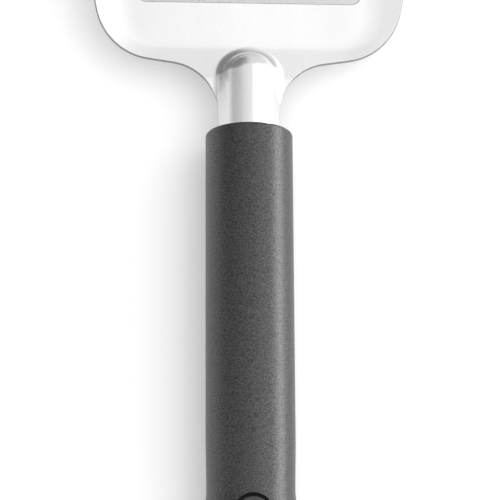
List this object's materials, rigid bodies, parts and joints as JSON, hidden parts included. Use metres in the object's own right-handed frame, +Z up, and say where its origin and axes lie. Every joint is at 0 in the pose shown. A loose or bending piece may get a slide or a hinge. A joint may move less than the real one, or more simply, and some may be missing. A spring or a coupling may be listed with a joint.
{
  "type": "cheese slicer",
  "caption": "Cheese slicer: pressed steel head with a slicing slot and a half-round stem, set in a thick round matte black handle with a hanging hole",
  "frame": {"origin": "centre of the footprint, on the surface the slicer lies on", "axes": "+Y from the handle to the front edge of the head, +Z up with the slicer lying on the flat under its handle, +X to the right seen from above"},
  "size_m": [0.0886, 0.1958, 0.0241],
  "materials": {
    "steel": "brushed",
    "grip": "matte, fine grain",
    "core": "matte",
    "bush": "satin"
  },
  "bodies": {
    "root": {"blade_head": "steel", "core_lower": "core", "core_upper": "core", "grip_sleeve": "grip", "hanging_bush_top": "bush", "hanging_bush_bottom": "bush"}
  },
  "joints": []
}
